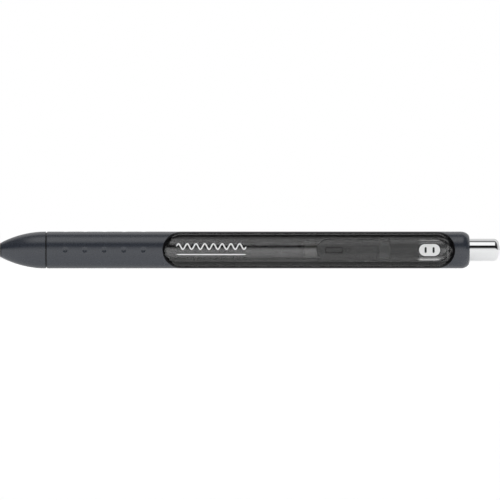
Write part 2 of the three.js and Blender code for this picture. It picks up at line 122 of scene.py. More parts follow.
class Nodes:
    """A node tree. One method adds any node: its type, its settings, then what its sockets get."""

    def __init__(self, tree):
        self.tree = tree

    def add(self, kind, settings=(), inputs=()):
        node = self.tree.nodes.new(kind)
        for name, value in dict(settings).items():
            if name == "stops":
                ramp = node.color_ramp
                while len(ramp.elements) < len(value):
                    ramp.elements.new(0.5)
                for element, (position, grey) in zip(ramp.elements, value):
                    element.position = position
                    element.color = (grey, grey, grey, 1)
            else:
                setattr(node, name, value)
        for name, value in dict(inputs).items():
            socket = node.inputs[name]
            if isinstance(value, Value):
                self.tree.links.new(value.socket, socket)
            else:
                socket.default_value = value
        return node

    def out(self, node, name=0):
        return Value(self, node.outputs[name])


class Value:
    """A socket that takes part in sums as a number does; each sum adds a Math node."""

    def __init__(self, nodes, socket):
        self.nodes = nodes
        self.socket = socket

    def sum_node(self, operation, first, second=0.0):
        node = self.nodes.add("ShaderNodeMath", {"operation": operation}, {0: first, 1: second})
        return self.nodes.out(node)

    def math(self, operation, other=0.0):
        return self.sum_node(operation, self, other)

    def __add__(self, other):
        return self.math("ADD", other)

    def __radd__(self, other):
        return self.math("ADD", other)

    def __sub__(self, other):
        return self.math("SUBTRACT", other)

    def __rsub__(self, other):
        return self.sum_node("SUBTRACT", other, self)

    def __mul__(self, other):
        return self.math("MULTIPLY", other)

    def __rmul__(self, other):
        return self.math("MULTIPLY", other)

    def __truediv__(self, other):
        return self.math("DIVIDE", other)

    def clamped(self):
        return self.math("MINIMUM", 1.0).math("MAXIMUM", 0.0)

    def size(self):
        return self.math("ABSOLUTE")

    def root(self):
        return self.math("SQRT")


world = bpy.data.worlds.new("white_room")
bpy.context.scene.world = world
world.use_nodes = True
world.node_tree.nodes.clear()
room = Nodes(world.node_tree)
direction = room.out(room.add("ShaderNodeTexCoord"), "Generated")
parts = room.add("ShaderNodeSeparateXYZ", (), {0: direction})
rise = room.out(parts, "Z")
towards_back = room.out(parts, "Y")
angle = rise.math("ARCTAN2", 0 - towards_back) / math.radians(360)
turned_up = (angle + in_room(0)).math("FRACT")


def around_room(lights):
    """A ramp of grey levels by angle, as its colour."""
    stops = [(in_room(degrees), light / 2) for degrees, light in lights]
    return room.out(room.add("ShaderNodeValToRGB", {"stops": stops}, {"Fac": turned_up}))


sideways = room.out(parts, "X")
off_middle = sideways.size()
over_panel = 1 - ((off_middle - PANEL_END) / PANEL_FADE).clamped()
panel = room.add("ShaderNodeBackground", (), {"Color": around_room(PANEL), "Strength": over_panel * 2})
walls = room.add("ShaderNodeBackground", (), {"Color": around_room(ROOM), "Strength": 2.0})
lit = room.add("ShaderNodeAddShader", (), {0: room.out(panel), 1: room.out(walls)})
plain = room.add("ShaderNodeBackground", (), {"Color": (1, 1, 1, 1), "Strength": 1.0})
seen = room.out(room.add("ShaderNodeLightPath"), "Is Camera Ray")
both = room.add("ShaderNodeMixShader", (), {0: seen, 1: room.out(lit), 2: room.out(plain)})
room.add("ShaderNodeOutputWorld", (), {"Surface": room.out(both)})

overhead_data = bpy.data.lights.new("overhead", "AREA")
overhead_data.shape = "RECTANGLE"
overhead_data.size = 1.6
overhead_data.size_y = 1.2
overhead_data.energy = 5
overhead = bpy.data.objects.new("overhead", overhead_data)
bpy.context.scene.collection.objects.link(overhead)
overhead.location = (0, -0.3, 1.4)
overhead.rotation_euler = (Vector((0, 0, 0)) - overhead.location).to_track_quat("-Z", "Y").to_euler()
overhead.visible_glossy = False
overhead.visible_transmission = False


def shaped(name, vertices, faces, sharp=40, first_bonded=None):
    """A closed mesh with its faces turned out; from first_bonded on they take the second material."""
    mesh = bpy.data.meshes.new(name)
    mesh.from_pydata([tuple(v) for v in vertices], [], faces)
    if first_bonded is not None:
        for number, polygon in enumerate(mesh.polygons):
            polygon.material_index = int(number >= first_bonded)
    bm = bmesh.new()
    bm.from_mesh(mesh)
    bmesh.ops.remove_doubles(bm, verts=bm.verts, dist=1e-7)
    bmesh.ops.dissolve_degenerate(bm, edges=bm.edges, dist=1e-8)
    loose = [edge for edge in bm.edges if not edge.link_faces]
    bmesh.ops.delete(bm, geom=loose, context="EDGES")
    bmesh.ops.recalc_face_normals(bm, faces=bm.faces)
    bm.to_mesh(mesh)
    bm.free()
    for polygon in mesh.polygons:
        polygon.use_smooth = True
    mesh.set_sharp_from_angle(angle=math.radians(sharp))
    piece = bpy.data.objects.new(name, mesh)
    bpy.context.scene.collection.objects.link(piece)
    return piece


FLOOR_HALF = 8.0
floor = shaped(
    "desk",
    [
        (-FLOOR_HALF, -FLOOR_HALF, 0),
        (FLOOR_HALF, -FLOOR_HALF, 0),
        (FLOOR_HALF, FLOOR_HALF, 0),
        (-FLOOR_HALF, FLOOR_HALF, 0),
    ],
    [(0, 1, 2, 3)],
)


class Finish(Nodes):
    """A material with one Principled shader, whose plain values are set on its own sockets."""

    def __init__(self, name, **plain):
        self.material = bpy.data.materials.new(name)
        self.material.use_nodes = True
        super().__init__(self.material.node_tree)
        self.tree.nodes.clear()
        self.shader = self.add("ShaderNodeBsdfPrincipled")
        self.add("ShaderNodeOutputMaterial", (), {"Surface": self.out(self.shader)})
        for name, value in plain.items():
            self.shader.inputs[name.replace("_", " ")].default_value = value

    def feed(self, name, value):
        self.tree.links.new(value.socket, self.shader.inputs[name])

    def place(self):
        return self.out(self.add("ShaderNodeTexCoord"), "Object")

    def noise(self, size_mm, detail=2.0, stretch=(1, 1, 1)):
        """Cloudy variation from 0 to 1, with patches of about this size."""
        mapping = self.add("ShaderNodeMapping", (), {"Vector": self.place(), "Scale": stretch})
        inputs = {"Vector": self.out(mapping), "Scale": 1 / (size_mm * MM), "Detail": detail}
        return self.out(self.add("ShaderNodeTexNoise", (), inputs), "Fac")

    def colour(self, share, low, high):
        """A colour between low and high, by share."""
        inputs = {"Factor": share, "A": (*low, 1), "B": (*high, 1)}
        node = self.add("ShaderNodeMix", {"data_type": "RGBA"})
        for name, value in inputs.items():
            named = (s for s in node.inputs if s.name == name and s.enabled)
            socket = next(s for s in named if s.type in ("RGBA", "VALUE"))
            if isinstance(value, Value):
                self.tree.links.new(value.socket, socket)
            else:
                socket.default_value = value
        result = next(s for s in node.outputs if s.type == "RGBA")
        return Value(self, result)

    def relief(self, height, depth_mm, strength=1.0):
        """Feeds a bump of this depth to the shader's normal."""
        inputs = {"Height": height, "Distance": depth_mm * MM, "Strength": strength}
        self.feed("Normal", self.out(self.add("ShaderNodeBump", (), inputs), "Normal"))


def coat(piece, *finishes):
    for finish in finishes:
        piece.data.materials.append(finish.material)


desk = Finish("desk_white", Roughness=0.9, Specular_IOR_Level=0.1, Emission_Strength=0.62)
desk.feed("Base Color", desk.colour(desk.noise(40), (0.66, 0.66, 0.66), (0.69, 0.69, 0.69)))
desk.feed("Emission Color", desk.colour(desk.noise(40), (0.97, 0.97, 0.97), (1.0, 1.0, 1.0)))
coat(floor, desk)

# ---------------------------------------------------------------- barrel
# The inner barrel is one injection moulding in clear smoke plastic, polished in the tool. A long pad
# stands up from it on the clip side and fills the opening in the rubber: that is the window.
# Its bare end shows as a thin rim round the button.

BODY_R = 5.35
TUBE_R = 4.55
BORE_R = 3.8
TUBE_FRONT = 13.8
TUBE_REAR = 136.05
REAR_LIP = 133.0
RIM_R = 3.5
RIM_BORE_R = 3.32
THREAD_PITCH = 1.5
THREAD_HELIX_R = 3.72
THREAD_GROOVE_R = 0.5
THREAD_START = 14.6
GROOVE_END = 18.5
GROOVE_STEP = 0.06
TAPER = 2.3
WINDOW_FRONT = 47.2
WINDOW_REAR = 131.8
WINDOW_FRONT_ROUND = 5.6
WINDOW_REAR_ROUND = 5.3
WINDOW_HALF_HEIGHT = BODY_R * math.sin(math.radians(85))
LIP_WIDTH = 0.62
PAD_HALF_TURN = math.asin((WINDOW_HALF_HEIGHT - LIP_WIDTH) / BODY_R)
PAD_END_ROUND = 1.6
PAD_FLUSH = 0.02


def at(along, radius, turn):
    """A point by its distance along from the nose tip and out from the axis, and its turn up."""
    y = -radius * math.cos(turn)
    z = radius * math.sin(turn)
    return Vector((tip_x + along * MM, y * MM, axis_z + z * MM))


def spread(low, high, steps):
    return [low + (high - low) * i / steps for i in range(steps + 1)]


def window_half(along, inset=0.0):
    """Half the window's height here, or that of the clear pad, which is inset from it all round."""
    front = WINDOW_FRONT + WINDOW_FRONT_ROUND
    rear = WINDOW_REAR - WINDOW_REAR_ROUND
    past = (front - along) / (WINDOW_FRONT_ROUND - inset)
    past = max(past, (along - rear) / (WINDOW_REAR_ROUND - inset))
    return (WINDOW_HALF_HEIGHT - inset) * math.sqrt(1 - min(1.0, max(0.0, past)) ** 2)


def window_turn(along):
    """Half of the angle that the window covers here."""
    return math.asin(window_half(along) / BODY_R)


def pad_out(along, up):
    """The clear pad's height off the axis plane: flush with the rubber and domed at both ends."""
    to_front = along - (WINDOW_FRONT + LIP_WIDTH)
    to_rear = (WINDOW_REAR - LIP_WIDTH) - along
    into = min(PAD_END_ROUND, max(0.0, min(to_front, to_rear)))
    crest = BODY_R - PAD_FLUSH - PAD_END_ROUND + math.sqrt(PAD_END_ROUND**2 - (PAD_END_ROUND - into) ** 2)
    half = window_half(along, LIP_WIDTH)
    across = min(1.0, abs(up) / max(half, 1e-6)) * math.sin(PAD_HALF_TURN)
    return crest - half / math.sin(PAD_HALF_TURN) * (1 - math.sqrt(1 - across**2))


def out_to(along, out, up):
    """A point by its distance from the nose tip, towards the clip side, and up from the axis."""
    return Vector((tip_x + along * MM, -out * MM, axis_z + up * MM))


def tube_radius(along):
    """The barrel's outside under the rubber."""
    if along <= REAR_LIP:
        return TUBE_R
    share = min(1.0, (along - REAR_LIP) / TAPER)
    return RIM_R + (TUBE_R - RIM_R) * math.sqrt(1 - share**2)


def thread_bore(along, turn):
    """The bore's radius at the front, where a round helical groove takes the nose's thread."""
    lead = (math.pi - turn) / (2 * math.pi)
    nearest = round((along - THREAD_START) / THREAD_PITCH - lead)
    centre = THREAD_START + THREAD_PITCH * (nearest + lead)
    if centre > GROOVE_END or abs(along - centre) >= THREAD_GROOVE_R:
        return BORE_R
    return max(BORE_R, THREAD_HELIX_R + math.sqrt(THREAD_GROOVE_R**2 - (along - centre) ** 2))


def window_stations(inset=0.0):
    """Places along the window, or along the clear pad, close together where the ends round off."""
    bends = [math.radians(a) for a in spread(0, 90, 22)]
    front_round = WINDOW_FRONT_ROUND - inset
    rear_round = WINDOW_REAR_ROUND - inset
    front = [WINDOW_FRONT + WINDOW_FRONT_ROUND - front_round * math.cos(b) for b in bends]
    rear = [WINDOW_REAR - WINDOW_REAR_ROUND + rear_round * math.cos(b) for b in reversed(bends)]
    middle = spread(front[-1], rear[0], 16)[1:-1]
    return front + middle + rear


def quads(rows, closed_rows=False):
    """Faces between rows of point numbers; each row is as long as the next."""
    faces = []
    pairs = zip(rows, rows[1:])
    for low, high in pairs:
        last = len(low) if closed_rows else len(low) - 1
        for i in range(last):
            j = (i + 1) % len(low)
            faces.append((low[i], low[j], high[j], high[i]))
    return faces


BACK_COLUMNS = 96
PAD_COLUMNS = 56


def barrel_tube():
    vertices = []
    rows = []
    pads = []

    def row(points):
        vertices.extend(points)
        return list(range(len(vertices) - len(points), len(vertices)))

    stations = window_stations(LIP_WIDTH)
    pad_places = stations
    stations = spread(TUBE_FRONT, stations[0], 8)[:-1] + stations
    stations += [REAR_LIP + TAPER * math.sin(math.radians(a)) for a in spread(0, 90, 8)]
    stations += [TUBE_REAR - 0.08]
    for along in stations:
        half = window_half(along, LIP_WIDTH) if along in pad_places else 0
        edge = math.asin(half / TUBE_R) if half < TUBE_R else math.pi / 2
        edge = min(edge, PAD_HALF_TURN)
        turns = spread(edge, 2 * math.pi - edge, BACK_COLUMNS)
        rows.append(row([at(along, tube_radius(along), turn) for turn in turns]))
        if along in pad_places:
            ups = [half * math.sin(math.pi / 2 * share) for share in spread(-1, 1, PAD_COLUMNS)]
            pads.append((row([out_to(along, pad_out(along, up), up) for up in ups]), rows[-1]))
    turns = spread(0, 2 * math.pi, BACK_COLUMNS)
    inner = (
        (TUBE_REAR, RIM_R - 0.06),
        (TUBE_REAR, RIM_BORE_R + 0.04),
        (TUBE_REAR - 0.06, RIM_BORE_R),
        (REAR_LIP, RIM_BORE_R),
        (REAR_LIP, BORE_R),
    )
    for along, radius in inner:
        rows.append(row([at(along, radius, turn) for turn in turns]))
    groove_rear = GROOVE_END + THREAD_GROOVE_R
    for along in spread(groove_rear, TUBE_FRONT, round((groove_rear - TUBE_FRONT) / GROOVE_STEP)):
        rows.append(row([at(along, thread_bore(along, turn), turn) for turn in turns]))
    rows.append(rows[0])
    clear = quads([pad for pad, _ in pads]) + quads(rows[len(stations):])
    bonded = quads(rows[: len(stations) + 1])
    bonded += quads([[pad[-1], back[0]] for pad, back in pads])
    bonded += quads([[back[-1], pad[0]] for pad, back in pads])
    return shaped("barrel", vertices, clear + bonded, sharp=50, first_bonded=len(clear))


def smoked(name):
    """Polished clear plastic with faint flow marks along the pen; its tint is fed in afterwards."""
    finish = Finish(name, IOR=1.49, Transmission_Weight=1.0)
    finish.feed("Roughness", finish.noise(3, detail=4) * 0.015 + 0.005)
    finish.relief(finish.noise(9, detail=0, stretch=(0.1, 1, 1)), 0.002, 0.1)
    return finish


smoke = smoked("smoke_plastic")
swirl = smoke.noise(9, detail=3, stretch=(0.25, 1, 1))
smoke.feed("Base Color", smoke.colour(swirl, (0.875, 0.875, 0.875), (0.89, 0.89, 0.89)))

rubber_bond = Finish("rubber_bond", Roughness=0.8, Specular_IOR_Level=0.1)
bond_grain = rubber_bond.noise(3)
rubber_bond.feed("Base Color", rubber_bond.colour(bond_grain, (0.006, 0.006, 0.007), (0.01, 0.01, 0.012)))

barrel = barrel_tube()
coat(barrel, smoke, rubber_bond)
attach(barrel, "barrel")
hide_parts("barrel_tube")

# ---------------------------------------------------------------- grip sleeve
# Soft-touch rubber, moulded over the barrel in a second shot and left with a fine matt grain.
# Four rows of round dimples are sunk into it at the grip, and it rounds in towards the button.

SLEEVE_FRONT = 13.7
SHOULDER = 133.5
SHOULDER_LENGTH = 2.6
SHOULDER_END_R = 3.62
SLEEVE_EASE = 0.1
DIMPLE_FIRST = 19.05
DIMPLE_PITCH = 5.65
DIMPLES = 5
DIMPLE_R = 0.78
DIMPLE_FLOOR = 0.4
DIMPLE_DEPTH = 0.3
SLEEVE_COLUMNS = 144


def dimple_depth(along, turn):
    """How far the rubber is sunk here: round bowls in four rows."""
    nearest = min(DIMPLES - 1, max(0, round((along - DIMPLE_FIRST) / DIMPLE_PITCH)))
    off_along = along - DIMPLE_FIRST - nearest * DIMPLE_PITCH
    off_turn = (turn + math.pi / 4) % (math.pi / 2) - math.pi / 4
    away = math.hypot(off_along, off_turn * BODY_R) / DIMPLE_R
    rise = min(1.0, max(0.0, (1 - away) / (1 - DIMPLE_FLOOR)))
    return DIMPLE_DEPTH * rise * rise * (3 - 2 * rise)


def sleeve_radius(along):
    """The rubber's outside, with its front edge eased and its rear rounded in."""
    if along > SHOULDER:
        share = min(1.0, (along - SHOULDER) / SHOULDER_LENGTH)
        return SHOULDER_END_R + (BODY_R - SHOULDER_END_R) * math.sqrt(1 - share**2)
    into = min(1.0, (along - SLEEVE_FRONT) / SLEEVE_EASE)
    return BODY_R - SLEEVE_EASE * (1 - math.sqrt(1 - (1 - into) ** 2))


def grip_sleeve():
    vertices = []
    outer = []
    inner = []
    grip_start = DIMPLE_FIRST - 1
    grip_end = DIMPLE_FIRST + (DIMPLES - 1) * DIMPLE_PITCH + 1
    stations = [SLEEVE_FRONT + SLEEVE_EASE * share**2 for share in spread(0, 1, 4)]
    stations += spread(stations[-1], grip_start, 6)[1:]
    stations += spread(grip_start, grip_end, 118)[1:]
    stations += spread(grip_end, WINDOW_FRONT, 4)[1:-1] + window_stations()
    stations += [SHOULDER + SHOULDER_LENGTH * math.sin(math.radians(a)) for a in spread(0, 90, 20)]
    in_window = []
    for along in stations:
        edge = window_turn(along)
        in_window.append(WINDOW_FRONT <= along <= WINDOW_REAR)
        turns = spread(edge, 2 * math.pi - edge, SLEEVE_COLUMNS)
        radius = sleeve_radius(along)
        under = min(tube_radius(along) + 0.03, radius - 0.05)
        for rows, r in ((outer, radius), (inner, under)):
            start = len(vertices)
            for turn in turns:
                sunk = dimple_depth(along, turn) if r == radius else 0
                vertices.append(at(along, r - sunk, turn))
            rows.append(list(range(start, len(vertices))))
    faces = quads(outer) + quads(inner)
    faces += quads([outer[0], inner[0]]) + quads([outer[-1], inner[-1]])
    for i in range(len(stations) - 1):
        if in_window[i] and in_window[i + 1]:
            for side in (0, -1):
                faces.append((outer[i][side], outer[i + 1][side], inner[i + 1][side], inner[i][side]))
    return shaped("grip", vertices, faces, sharp=50)


rubber = Finish("soft_rubber", IOR=1.5, Specular_IOR_Level=0.75)
mottle = rubber.noise(5, detail=4)
rubber.feed("Base Color", rubber.colour(mottle, (0.029, 0.034, 0.046), (0.033, 0.039, 0.052)))
rubber.feed("Roughness", rubber.noise(1.2, detail=3) * 0.06 + 0.24)
rubber.relief(rubber.noise(0.06, detail=2), 0.002, 0.15)

grip = grip_sleeve()
coat(grip, rubber)
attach(grip, "barrel")
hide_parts("grip_sleeve")


# across the lip from the rubber to the pad, and how far each line of it lies below the straight slope
LIP_PROFILE = ((0, 0.02), (0.3, 0.16), (0.75, 0.1), (1, -0.01), (1, 0.3), (0, 0.5))


def window_lip():
    """The sleeve's thin lip, coloured black as painted shade for the gap round the clear pad, which slopes
    from the rubber's edge in to the pad.
    """
    vertices = []
    rows = []
    bends = spread(0, 90, 24)
    for end, side, order in ((1, 1, bends), (1, -1, bends[::-1]), (0, -1, bends), (0, 1, bends[::-1])):
        for bend in order:
            turn = math.radians(bend)
            row = []
            for share, drop in LIP_PROFILE:
                inset = share * LIP_WIDTH
                front_round = WINDOW_FRONT_ROUND - inset
                rear_round = WINDOW_REAR_ROUND - inset
                if end:
                    along = WINDOW_REAR - WINDOW_REAR_ROUND + rear_round * math.sin(turn)
                else:
                    along = WINDOW_FRONT + WINDOW_FRONT_ROUND - front_round * math.sin(turn)
                up = side * (WINDOW_HALF_HEIGHT - inset) * math.cos(turn)
                rubber = math.sqrt(max(0.0, BODY_R**2 - up**2))
                inner_up = side * (WINDOW_HALF_HEIGHT - LIP_WIDTH) * math.cos(turn)
                clear = pad_out(along, inner_up)
                out = rubber * (1 - share) + clear * share - drop
                row.append(len(vertices))
                vertices.append(out_to(along, out, up))
            rows.append(row)
    rows.append(rows[0])
    return shaped("window_lip", vertices, quads(rows, closed_rows=True), sharp=60)


# painted shade: the lip is near-black, darker than the rubber, to stand in for the shade in the gap round
# the clear pad
lip_painted_shade_finish = Finish("lip_painted_shade", Roughness=0.5, Specular_IOR_Level=0.25)
lip_painted_shade_grain = lip_painted_shade_finish.noise(2)
lip_painted_shade_finish.feed("Base Color", lip_painted_shade_finish.colour(lip_painted_shade_grain, (0.006, 0.006, 0.007), (0.01, 0.01, 0.011)))
lip = window_lip()
coat(lip, lip_painted_shade_finish)
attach(lip, "barrel")

# ---------------------------------------------------------------- print
# White ink, pad-printed on the window in front of the clip: an even wave over a thin plain rule.
# It is a few hundredths of a millimetre thick.

PRINT_FRONT = 51.2
PRINT_REAR = 71.4
PRINT_LIFT = 0.015
WAVE_UP = 1.0
WAVE_HIGH = 0.8
WAVES = 8
RULE_UP = -1.3
PRINT_THICK = 0.02


def ribbon(line, half_width):
    """A thin flat stroke on the barrel along a line of (along, height) points, in mm."""
    vertices = []
    rows = []
    for i, (along, height) in enumerate(line):
        before = line[max(0, i - 1)]
        after = line[min(len(line) - 1, i + 1)]
        run = Vector((after[0] - before[0], after[1] - before[1])).normalized()
        side = Vector((-run.y, run.x))
        into_end = min(i, len(line) - 1 - i) / 3
        half = half_width * math.sqrt(1 - max(0.0, 1 - into_end) ** 2)
        row = []
        for across, lift in ((-1, 0), (1, 0), (1, 1), (-1, 1)):
            x = along + side.x * half * across
            up = height + side.y * half * across
            row.append(len(vertices))
            vertices.append(out_to(x, pad_out(x, up) + PRINT_LIFT + PRINT_THICK * lift, up))
        rows.append(row)
    return vertices, quads(rows, closed_rows=True) + [tuple(rows[0]), tuple(reversed(rows[-1]))]


def wave():
    line = []
    for share in spread(0, 1, WAVES * 24):
        up = WAVE_UP + WAVE_HIGH * math.sin(2 * math.pi * WAVES * share)
        line.append((PRINT_FRONT + (PRINT_REAR - PRINT_FRONT) * share, up))
    return line


def print_strokes():
    vertices = []
    faces = []
    rule = [(along, RULE_UP) for along in spread(PRINT_FRONT, PRINT_REAR, 60)]
    for line, half_width in ((wave(), 0.2), (rule, 0.16)):
        points, sides = ribbon(line, half_width)
        faces += [tuple(n + len(vertices) for n in side) for side in sides]
        vertices += points
    return shaped("window_print", vertices, faces)


white_ink = Finish("white_ink", Roughness=0.35)
white_ink.feed("Base Color", white_ink.colour(white_ink.noise(0.3), (0.90, 0.90, 0.90), (0.97, 0.97, 0.97)))
white_ink.relief(white_ink.noise(0.08), 0.003, 0.4)

window_print = print_strokes()
coat(window_print, white_ink)
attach(window_print, "barrel")

# ---------------------------------------------------------------- refill
# A clear drawn tube holds the black ink, with a plug of clear grease behind it and a vented tail
# plug at the rear. Moulded nib holder in front, pressed into the tube, carries the metal tip.

REFILL_R = 3.05
REFILL_BORE_R = 2.5
REFILL_FRONT = 20.05
REFILL_REAR = 112.9
INK_FRONT = 24.2
INK_REAR = 88.2
GREASE_REAR = 91.8


def eased(corners, steps=4):
    """A profile whose corners (along, radius, ease) are rounded over their ease."""
    points = []
    count = len(corners)
    for i, corner in enumerate(corners):
        here = Vector(corner[:2])
        ease = corner[2] if len(corner) > 2 else 0
        if not ease:
            points.append(tuple(here))
            continue
        before = (Vector(corners[i - 1][:2]) - here).normalized() * ease + here
        after = (Vector(corners[(i + 1) % count][:2]) - here).normalized() * ease + here
        for share in spread(0, 1, steps):
            point = before * (1 - share) ** 2 + here * 2 * share * (1 - share) + after * share**2
            points.append(tuple(point))
    return points


def turned(name, corners, sides=96, sharp=40):
    """A closed profile, in mm along the pen and from its axis, turned round the axis."""
    profile = eased(corners)
    profile.append(profile[0])
    turns = spread(0, 2 * math.pi, sides)
    vertices = []
    rows = []
    for along, radius in profile[:-1]:
        rows.append(list(range(len(vertices), len(vertices) + sides + 1)))
        vertices += [at(along, radius, turn) for turn in turns]
    rows.append(rows[0])
    return shaped(name, vertices, quads(rows), sharp)


clear = Finish("clear_tube", Roughness=0.04, IOR=1.49, Transmission_Weight=1.0)
draw_marks = clear.noise(4, stretch=(0.1, 1, 1))
clear.feed("Base Color", clear.colour(draw_marks, (0.94, 0.94, 0.94), (0.97, 0.97, 0.97)))
clear.feed("Roughness", clear.noise(2, detail=3, stretch=(0.2, 1, 1)) * 0.06 + 0.03)

refill = turned(
    "refill",
    [
        (REFILL_FRONT, REFILL_BORE_R),
        (REFILL_FRONT, REFILL_R, 0.1),
        (REFILL_REAR, REFILL_R, 0.1),
        (REFILL_REAR, REFILL_BORE_R),
    ],
    sides=72,
)
coat(refill, clear)
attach(refill, "refill")
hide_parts("refill_tube")

ink_finish = Finish("black_ink", IOR=1.4)
ink_cloud = ink_finish.noise(6)
ink_finish.feed("Base Color", ink_finish.colour(ink_cloud, (0.006, 0.006, 0.008), (0.012, 0.012, 0.014)))
ink_finish.feed("Roughness", ink_finish.noise(3) * 0.05 + 0.08)

ink = turned(
    "ink",
    [
        (INK_FRONT, 0),
        (INK_FRONT, REFILL_BORE_R - 0.06, 0.2),
        (INK_REAR, REFILL_BORE_R - 0.06, 0.3),
        (INK_REAR - 0.5, 0),
    ],
    sides=48,
)
coat(ink, ink_finish)
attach(ink, "refill")
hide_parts("ink_column")

grease_finish = Finish("clear_grease", IOR=1.45, Subsurface_Weight=0.2, Subsurface_Scale=0.002)
grease_cloud = grease_finish.noise(1)
grease_finish.feed("Base Color", grease_finish.colour(grease_cloud, (0.1, 0.1, 0.09), (0.13, 0.13, 0.12)))
grease_finish.feed("Roughness", grease_finish.noise(1.5) * 0.1 + 0.2)

grease = turned(
    "grease",
    [
        (INK_REAR + 0.1, REFILL_BORE_R - 0.06, 0.2),
        (GREASE_REAR, REFILL_BORE_R - 0.06, 0.3),
        (GREASE_REAR - 0.6, 0),
        (INK_REAR - 0.3, 0),
    ],
    sides=48,
)
coat(grease, grease_finish)
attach(grease, "refill")
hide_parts("grease_follower")


def dress(node, finish, sharp=35):
    """Gives a CAD piece its finish and smooths the turned faces between its real edges."""
    piece = frame["nodes"][node]
    piece.data.materials.clear()
    coat(piece, finish)
    for polygon in piece.data.polygons:
        polygon.use_smooth = True
    piece.data.set_sharp_from_angle(angle=math.radians(sharp))


natural = Finish("natural_acetal", IOR=1.48, Subsurface_Weight=0.15, Subsurface_Scale=0.001)
natural_flow = natural.noise(2, detail=3)
natural.feed("Base Color", natural.colour(natural_flow, (0.50, 0.51, 0.52), (0.58, 0.59, 0.60)))
natural.feed("Roughness", natural.noise(0.6, detail=3) * 0.15 + 0.35)
natural.relief(natural.noise(0.3), 0.002, 0.3)

dark_plastic = Finish("dark_moulding", IOR=1.48)
dark_flow = dark_plastic.noise(3, detail=3)
dark_shades = ((0.022, 0.023, 0.026), (0.03, 0.031, 0.035))
dark_plastic.feed("Base Color", dark_plastic.colour(dark_flow, *dark_shades))
dark_plastic.feed("Roughness", dark_plastic.noise(0.8, detail=3) * 0.15 + 0.3)
dark_plastic.relief(dark_plastic.noise(0.6), 0.001, 0.15)
dress("nib_holder", dark_plastic)
dress("refill_tail_plug", natural)

# ---------------------------------------------------------------- tip and ball
# The tip is turned from stainless steel on an automatic lathe, so fine rings run round it.
# The ball is ground tungsten carbide, 0.7 mm across.

steel = Finish("turned_steel", Metallic=1.0)
rings = steel.noise(0.06, detail=2, stretch=(1, 0.02, 0.02))
steel.feed("Base Color", steel.colour(rings, (0.52, 0.53, 0.55), (0.66, 0.67, 0.69)))
steel.feed("Roughness", rings * 0.15 + 0.18)
steel.relief(rings, 0.002, 0.5)
dress("tip_cone", steel)

carbide = Finish("ground_carbide", Metallic=1.0)
carbide.feed("Base Color", carbide.colour(carbide.noise(0.05), (0.35, 0.35, 0.37), (0.45, 0.45, 0.47)))
carbide.feed("Roughness", carbide.noise(0.03) * 0.2 + 0.2)
dress("writing_ball", carbide, sharp=80)

# ---------------------------------------------------------------- click mechanism
# Guide, rotor and stem are moulded acetal; the guide is pressed into the barrel, the rotor and the
# stem slide in its slots. The button is a deep-drawn cup with bright chrome plating.

dress("cam_guide", dark_plastic)
dress("cam_rotor", natural)
dress("plunger_stem", natural)

BUTTON_R = 3.26
BUTTON_BORE_R = 2.72
BUTTON_FRONT = 131.5
BUTTON_FLANGE_R = 3.37
FLANGE_REAR = 132.9
BUTTON_CORNER = 1.5
BUTTON_DOME = 0.35
BUTTON_ROOF = 1.5


def button_end():
    """The rounded corner and the slight dome of the button, as (along, radius) points."""
    dome_start = length - BUTTON_DOME
    points = []
    for bend in spread(0, 90, 14):
        along = dome_start - BUTTON_CORNER * (1 - math.sin(math.radians(bend)))
        radius = BUTTON_R - BUTTON_CORNER * (1 - math.cos(math.radians(bend)))
        points.append((along, radius))
    flat = BUTTON_R - BUTTON_CORNER
    for share in spread(0, 1, 8)[1:]:
        points.append((length - BUTTON_DOME * (1 - share) ** 2, flat * (1 - share)))
    return points


button = turned(
    "button",
    [
        (BUTTON_FRONT, BUTTON_BORE_R, 0.05),
        (BUTTON_FRONT, BUTTON_FLANGE_R, 0.05),
        (FLANGE_REAR, BUTTON_FLANGE_R, 0.03),
        (FLANGE_REAR, BUTTON_R),
        *button_end(),
        (length - BUTTON_ROOF, 0),
        (length - BUTTON_ROOF, BUTTON_BORE_R),
    ],
    sides=128,
)
chrome = Finish("bright_chrome", Metallic=1.0)
chrome.feed("Base Color", chrome.colour(chrome.noise(2), (0.74, 0.745, 0.75), (0.77, 0.775, 0.78)))
hairlines = chrome.noise(0.15, detail=3, stretch=(0.05, 1, 1))
chrome.feed("Roughness", hairlines * 0.05 + 0.03)
coat(button, chrome)
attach(button, "plunger")
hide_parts("plunger_cap")

# ---------------------------------------------------------------- nose
# The nose is a hard satin moulding with a coarse round thread at its rear and the same rubber skin
# as the grip moulded over it. Its bare lip shows as a lighter ring round the opening.

NOSE_LENGTH = 13.3
NOSE_TIP_R = 2.0
NOSE_LIP = 0.33
NOSE_BORE_R = 1.25
COLLAR_R = 5.1
SKIN_AT_TIP = 0.35
SKIN_THICK = 0.75
SKIN_FULL_AT = 6.0
SPIGOT_R = 3.7
SPIGOT_BORE_R = 3.2
SPIGOT_END = 19.5
SPRING_SEAT = 7.0
THREAD_END = 17.9
THREAD_RIDGE_R = 0.32


def nose_radius(along):
    """The nose's outline: one arc that runs into the straight grip without a corner."""
    drop = BODY_R - NOSE_TIP_R
    arc = (NOSE_LENGTH**2 + drop**2) / (2 * drop)
    return BODY_R - arc + math.sqrt(arc**2 - (NOSE_LENGTH - along) ** 2)


def under_skin(along):
    share = min(1.0, along / SKIN_FULL_AT)
    return nose_radius(along) - SKIN_AT_TIP - (SKIN_THICK - SKIN_AT_TIP) * share


def swept(name, path, wire_r, sides=10):
    """A round wire along a path of points in the row frame, capped at both ends."""
    vertices = []
    rows = []
    for i, point in enumerate(path):
        run = (path[min(len(path) - 1, i + 1)] - path[max(0, i - 1)]).normalized()
        outward = (point - Vector((point.x, 0, axis_z))).normalized()
        level = run.cross(outward).normalized()
        outward = level.cross(run)
        row = []
        for side in range(sides):
            turn = 2 * math.pi * side / sides
            row.append(len(vertices))
            vertices.append(point + (outward * math.cos(turn) + level * math.sin(turn)) * wire_r * MM)
        rows.append(row)
    return shaped(name, vertices, quads(rows, closed_rows=True) + [tuple(rows[0]), tuple(rows[-1])])


